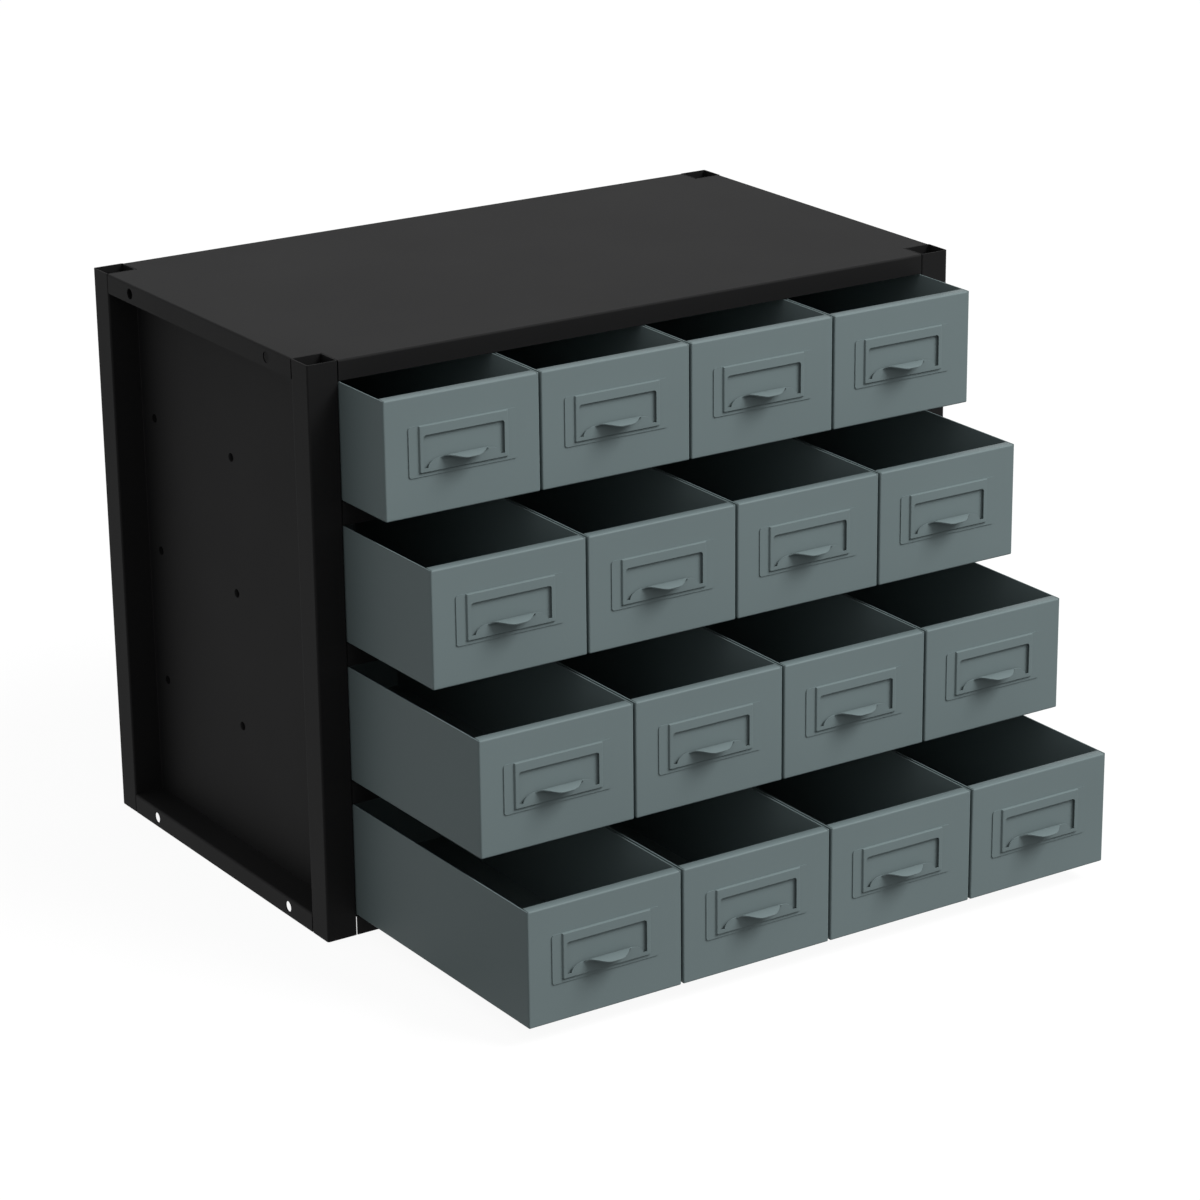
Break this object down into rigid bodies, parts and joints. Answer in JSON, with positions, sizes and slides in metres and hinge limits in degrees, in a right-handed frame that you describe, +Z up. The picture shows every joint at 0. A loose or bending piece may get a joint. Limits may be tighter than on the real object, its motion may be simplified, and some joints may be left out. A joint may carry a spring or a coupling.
{
  "type": "parts bin cabinet",
  "caption": "Sheet-steel parts cabinet with rows of pull-out bins between hollow corner posts, each bin with a stamped label holder and finger pull.",
  "frame": {"origin": "middle of the cabinet's footprint, on the floor it stands on", "axes": "+X along the width to the right, drawers open towards -Y, +Z up"},
  "size_m": [0.61, 0.6274, 0.474],
  "materials": {
    "black_coated_steel": "satin black powder coat",
    "grey_coated_steel": "satin blue-grey powder coat",
    "black_rivets": "satin black"
  },
  "bodies": {
    "cabinet": {"side_panel_left": "black_coated_steel", "side_panel_right": "black_coated_steel", "top_panel": "black_coated_steel", "bottom_panel": "black_coated_steel", "back_panel": "black_coated_steel", "shelf_under_row1": "black_coated_steel", "shelf_under_row2": "black_coated_steel", "shelf_under_row3": "black_coated_steel", "guide_row1_1": "black_coated_steel", "guide_row1_2": "black_coated_steel", "guide_row1_3": "black_coated_steel", "guide_row2_1": "black_coated_steel", "guide_row2_2": "black_coated_steel", "guide_row2_3": "black_coated_steel", "guide_row3_1": "black_coated_steel", "guide_row3_2": "black_coated_steel", "guide_row3_3": "black_coated_steel", "guide_row4_1": "black_coated_steel", "guide_row4_2": "black_coated_steel", "guide_row4_3": "black_coated_steel", "shelf_rivets_left": "black_rivets", "shelf_rivets_right": "black_rivets", "back_rivets": "black_rivets"},
    "drawer_row1_col1": {"drawer_row1_col1": "grey_coated_steel", "label_pull_row1_col1": "grey_coated_steel"},
    "drawer_row1_col2": {"drawer_row1_col2": "grey_coated_steel", "label_pull_row1_col2": "grey_coated_steel"},
    "drawer_row1_col3": {"drawer_row1_col3": "grey_coated_steel", "label_pull_row1_col3": "grey_coated_steel"},
    "drawer_row1_col4": {"drawer_row1_col4": "grey_coated_steel", "label_pull_row1_col4": "grey_coated_steel"},
    "drawer_row2_col1": {"drawer_row2_col1": "grey_coated_steel", "label_pull_row2_col1": "grey_coated_steel"},
    "drawer_row2_col2": {"drawer_row2_col2": "grey_coated_steel", "label_pull_row2_col2": "grey_coated_steel"},
    "drawer_row2_col3": {"drawer_row2_col3": "grey_coated_steel", "label_pull_row2_col3": "grey_coated_steel"},
    "drawer_row2_col4": {"drawer_row2_col4": "grey_coated_steel", "label_pull_row2_col4": "grey_coated_steel"},
    "drawer_row3_col1": {"drawer_row3_col1": "grey_coated_steel", "label_pull_row3_col1": "grey_coated_steel"},
    "drawer_row3_col2": {"drawer_row3_col2": "grey_coated_steel", "label_pull_row3_col2": "grey_coated_steel"},
    "drawer_row3_col3": {"drawer_row3_col3": "grey_coated_steel", "label_pull_row3_col3": "grey_coated_steel"},
    "drawer_row3_col4": {"drawer_row3_col4": "grey_coated_steel", "label_pull_row3_col4": "grey_coated_steel"},
    "drawer_row4_col1": {"drawer_row4_col1": "grey_coated_steel", "label_pull_row4_col1": "grey_coated_steel"},
    "drawer_row4_col2": {"drawer_row4_col2": "grey_coated_steel", "label_pull_row4_col2": "grey_coated_steel"},
    "drawer_row4_col3": {"drawer_row4_col3": "grey_coated_steel", "label_pull_row4_col3": "grey_coated_steel"},
    "drawer_row4_col4": {"drawer_row4_col4": "grey_coated_steel", "label_pull_row4_col4": "grey_coated_steel"}
  },
  "joints": [
    {"name": "slide_row1_col1", "type": "slide", "parent": "cabinet", "child": "drawer_row1_col1", "axis": [0, -1, 0], "range_m": [-0.065, 0.2202]},
    {"name": "slide_row1_col2", "type": "slide", "parent": "cabinet", "child": "drawer_row1_col2", "axis": [0, -1, 0], "range_m": [-0.065, 0.2202]},
    {"name": "slide_row1_col3", "type": "slide", "parent": "cabinet", "child": "drawer_row1_col3", "axis": [0, -1, 0], "range_m": [-0.065, 0.2202]},
    {"name": "slide_row1_col4", "type": "slide", "parent": "cabinet", "child": "drawer_row1_col4", "axis": [0, -1, 0], "range_m": [-0.065, 0.2202]},
    {"name": "slide_row2_col1", "type": "slide", "parent": "cabinet", "child": "drawer_row2_col1", "axis": [0, -1, 0], "range_m": [-0.1282, 0.157]},
    {"name": "slide_row2_col2", "type": "slide", "parent": "cabinet", "child": "drawer_row2_col2", "axis": [0, -1, 0], "range_m": [-0.1282, 0.157]},
    {"name": "slide_row2_col3", "type": "slide", "parent": "cabinet", "child": "drawer_row2_col3", "axis": [0, -1, 0], "range_m": [-0.1282, 0.157]},
    {"name": "slide_row2_col4", "type": "slide", "parent": "cabinet", "child": "drawer_row2_col4", "axis": [0, -1, 0], "range_m": [-0.1282, 0.157]},
    {"name": "slide_row3_col1", "type": "slide", "parent": "cabinet", "child": "drawer_row3_col1", "axis": [0, -1, 0], "range_m": [-0.1914, 0.0938]},
    {"name": "slide_row3_col2", "type": "slide", "parent": "cabinet", "child": "drawer_row3_col2", "axis": [0, -1, 0], "range_m": [-0.1914, 0.0938]},
    {"name": "slide_row3_col3", "type": "slide", "parent": "cabinet", "child": "drawer_row3_col3", "axis": [0, -1, 0], "range_m": [-0.1914, 0.0938]},
    {"name": "slide_row3_col4", "type": "slide", "parent": "cabinet", "child": "drawer_row3_col4", "axis": [0, -1, 0], "range_m": [-0.1914, 0.0938]},
    {"name": "slide_row4_col1", "type": "slide", "parent": "cabinet", "child": "drawer_row4_col1", "axis": [0, -1, 0], "range_m": [-0.2546, 0.0306]},
    {"name": "slide_row4_col2", "type": "slide", "parent": "cabinet", "child": "drawer_row4_col2", "axis": [0, -1, 0], "range_m": [-0.2546, 0.0306]},
    {"name": "slide_row4_col3", "type": "slide", "parent": "cabinet", "child": "drawer_row4_col3", "axis": [0, -1, 0], "range_m": [-0.2546, 0.0306]},
    {"name": "slide_row4_col4", "type": "slide", "parent": "cabinet", "child": "drawer_row4_col4", "axis": [0, -1, 0], "range_m": [-0.2546, 0.0306]}
  ]
}
